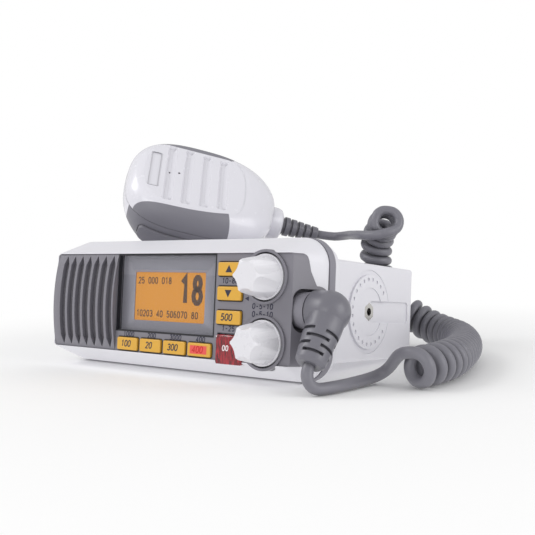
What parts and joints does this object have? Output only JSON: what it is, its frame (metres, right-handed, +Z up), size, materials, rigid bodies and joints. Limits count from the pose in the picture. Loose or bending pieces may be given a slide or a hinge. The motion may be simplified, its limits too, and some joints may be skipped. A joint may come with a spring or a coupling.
{
  "type": "vhf marine radio",
  "caption": "Fixed-mount marine radio with a bowed speaker grille, amber display and keys, scalloped knobs, covered distress key and a fist microphone on a curly cord.",
  "frame": {"origin": "on the table, under the middle of the box of the radio and its resting microphone", "axes": "+X to the right along the front, +Y to the rear, +Z up; the radio stands nose-up on its gasket and its housing's rear edge"},
  "size_m": [0.2397, 0.186, 0.1337],
  "materials": {
    "white_plastic": "fine moulded texture",
    "white_gloss": "smooth moulding",
    "panel_grey": "satin moulding",
    "grey_rubber": "soft matt rubber",
    "cord_grey": "matt jacket",
    "amber_key": "translucent moulded key",
    "red_cover": "clear tinted cover",
    "red_key": "moulded key",
    "lens_clear": "clear window",
    "mask_grey": "printed behind the window",
    "display_amber": "lit display module",
    "inner_plastic": "plain moulding",
    "board": "coated board",
    "mat": "silicone",
    "steel": "plated",
    "tin": "tinned",
    "brass": "turned",
    "casting": "cast, coated",
    "cloth": "open weave",
    "paper": "pressed cone",
    "magnet": "plated"
  },
  "bodies": {
    "radio": {"bezel": "white_plastic", "front_panel": "panel_grey", "lens": "lens_clear", "lens_mask": "mask_grey", "display_module": "display_amber", "display_frame": "inner_plastic", "front_board": "board", "key_mat": "mat", "cover_pin": "steel", "pot_nuts": "steel", "pots": "inner_plastic", "speaker_cloth": "cloth", "speaker_gasket": "inner_plastic", "speaker_basket": "steel", "speaker_cone": "paper", "speaker_magnet": "magnet", "gasket": "grey_rubber", "housing": "white_plastic", "tray": "steel", "heat_sink": "casting", "main_board": "board", "shield_can": "tin", "power_module": "inner_plastic", "antenna_socket": "tin", "lead_gland": "grey_rubber", "screws": "steel", "bracket_inserts": "brass", "mic_jack": "inner_plastic", "plug_ring": "grey_rubber", "plug_boot": "cord_grey", "cord_lead": "cord_grey", "coil_side": "cord_grey", "coil_corner": "cord_grey", "coil_rise": "cord_grey", "cord_tail": "cord_grey"},
    "volume": {"volume_knob": "white_plastic", "volume_shaft": "steel"},
    "squelch": {"squelch_knob": "white_plastic", "squelch_shaft": "steel"},
    "cover": {"distress_cover": "red_cover"},
    "distress": {"distress_key": "red_key"},
    "microphone": {"mic_front_shell": "white_gloss", "mic_rear_shell": "white_gloss", "mic_front_grips": "grey_rubber", "mic_rear_grips": "grey_rubber", "mic_collar": "white_gloss", "mic_sleeve": "cord_grey", "mic_stud": "steel", "mic_board": "board", "mic_capsule": "tin", "mic_switch": "inner_plastic", "mic_screws": "steel"},
    "talk_key": {"mic_ptt": "grey_rubber"},
    "key_1": {"key_1": "amber_key"},
    "key_2": {"key_2": "amber_key"},
    "key_3": {"key_3": "amber_key"},
    "key_4": {"key_4": "amber_key"},
    "key_up": {"key_up": "amber_key"},
    "key_down": {"key_down": "amber_key"},
    "key_enter": {"key_enter": "amber_key"}
  },
  "joints": [
    {"name": "key_1_press", "type": "slide", "parent": "radio", "child": "key_1", "axis": [0, 0.9946, -0.1043], "range_m": [0, 0.001], "stiffness_N_per_m": 600, "springref_m": -0.0006},
    {"name": "key_2_press", "type": "slide", "parent": "radio", "child": "key_2", "axis": [0, 0.9946, -0.1043], "range_m": [0, 0.001], "stiffness_N_per_m": 600, "springref_m": -0.0006},
    {"name": "key_3_press", "type": "slide", "parent": "radio", "child": "key_3", "axis": [0, 0.9946, -0.1043], "range_m": [0, 0.001], "stiffness_N_per_m": 600, "springref_m": -0.0006},
    {"name": "key_4_press", "type": "slide", "parent": "radio", "child": "key_4", "axis": [0, 0.9946, -0.1043], "range_m": [0, 0.001], "stiffness_N_per_m": 600, "springref_m": -0.0006},
    {"name": "key_up_press", "type": "slide", "parent": "radio", "child": "key_up", "axis": [0, 0.9946, -0.1043], "range_m": [0, 0.001], "stiffness_N_per_m": 600, "springref_m": -0.0006},
    {"name": "key_down_press", "type": "slide", "parent": "radio", "child": "key_down", "axis": [0, 0.9946, -0.1043], "range_m": [0, 0.001], "stiffness_N_per_m": 600, "springref_m": -0.0006},
    {"name": "key_enter_press", "type": "slide", "parent": "radio", "child": "key_enter", "axis": [0, 0.9946, -0.1043], "range_m": [0, 0.001], "stiffness_N_per_m": 600, "springref_m": -0.0006},
    {"name": "distress_press", "type": "slide", "parent": "radio", "child": "distress", "axis": [0, 0.9946, -0.1043], "range_m": [0, 0.001], "stiffness_N_per_m": 600, "springref_m": -0.0006},
    {"name": "cover_hinge", "type": "hinge", "parent": "radio", "child": "cover", "pos_m": [0.0481, -0.07102, 0.02305], "axis": [-1, 0, 0], "range_deg": [0, 95], "stiffness_Nm_per_rad": 0.0015, "springref_deg": -22.92},
    {"name": "volume_turn", "type": "hinge", "parent": "radio", "child": "volume", "pos_m": [0.0698, -0.06838, 0.05303], "axis": [0, -0.9946, 0.1043], "range_deg": [-150, 150]},
    {"name": "squelch_turn", "type": "hinge", "parent": "radio", "child": "squelch", "pos_m": [0.0698, -0.07168, 0.02151], "axis": [0, -0.9946, 0.1043], "range_deg": [-150, 150]},
    {"name": "mic_lift", "type": "slide", "parent": "radio", "child": "microphone", "axis": [0, 0, 1], "range_m": [0, 0.04]},
    {"name": "talk_press", "type": "slide", "parent": "microphone", "child": "talk_key", "axis": [-0.4166, 0.582, 0.6983], "range_m": [0, 0.002], "stiffness_N_per_m": 900, "springref_m": -0.001}
  ]
}
